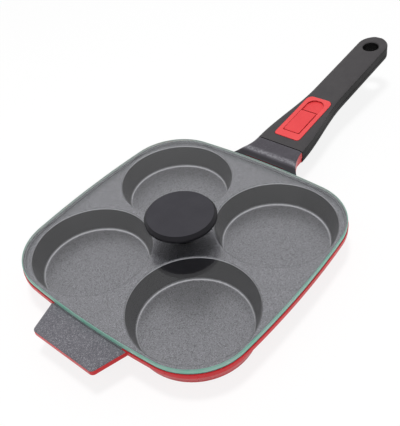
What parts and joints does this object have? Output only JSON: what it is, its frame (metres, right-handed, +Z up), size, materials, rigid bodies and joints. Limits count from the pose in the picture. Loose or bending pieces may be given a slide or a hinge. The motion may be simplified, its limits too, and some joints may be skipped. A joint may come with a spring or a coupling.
{
  "type": "four-cup egg pan",
  "caption": "Square cast egg pan with round cups, a flat glass lid with a disc knob, a helper tab and a sloping pull-off handle with a red slide key and a hanging hole.",
  "frame": {"origin": "on the surface that the pan stands on, under the middle of its whole length and width", "axes": "+X from the helper tab towards the handle's end, +Y to the left seen from the tab, +Z up"},
  "size_m": [0.4344, 0.208, 0.0482],
  "materials": {
    "cast_aluminium": "grey speckled non-stick inside and on top, red enamel outside",
    "base_steel": "satin, with rows of small dots",
    "lid_glass": "clear, with a green polished edge",
    "knob_plastic": "satin black",
    "silicone": "matt",
    "fastener_steel": "plated",
    "grip_plastic": "dark grey, finely textured",
    "red_plastic": "satin coral red"
  },
  "bodies": {
    "pan": {"pan_casting": "cast_aluminium", "base_plate": "base_steel"},
    "lid": {"glass_lid": "lid_glass", "knob_cap": "knob_plastic", "knob_stem": "knob_plastic", "knob_upper_gasket": "silicone", "knob_lower_gasket": "silicone", "knob_washer": "fastener_steel", "knob_screw": "fastener_steel"},
    "handle": {"handle_upper_shell": "grip_plastic", "handle_lower_shell": "grip_plastic", "release_bezel": "red_plastic", "key_spring": "fastener_steel", "shell_screw_left": "fastener_steel", "shell_screw_right": "fastener_steel", "shell_screw_middle": "fastener_steel", "shell_screw_rear": "fastener_steel"},
    "key": {"release_key": "red_plastic", "key_carriage": "knob_plastic"},
    "shoe": {"clamp_shoe": "fastener_steel"}
  },
  "joints": [
    {"name": "lid_lift", "type": "slide", "parent": "pan", "child": "lid", "axis": [0, 0, 1], "range_m": [0, 0.08]},
    {"name": "handle_pull", "type": "slide", "parent": "pan", "child": "handle", "axis": [0.994, 0, 0.1093], "range_m": [0, 0.06]},
    {"name": "key_slide", "type": "slide", "parent": "handle", "child": "key", "axis": [0.994, 0, 0.1093], "range_m": [0, 0.009], "stiffness_N_per_m": 300, "springref_m": -0.006, "deforming": ["key_spring"]},
    {"name": "shoe_lift", "type": "slide", "parent": "handle", "child": "shoe", "axis": [-0.1093, 0, 0.994], "range_m": [0, 0.00072]}
  ],
  "couplings": [
    {"joint": "shoe_lift", "follows": "key_slide", "ratio": 0.08}
  ]
}
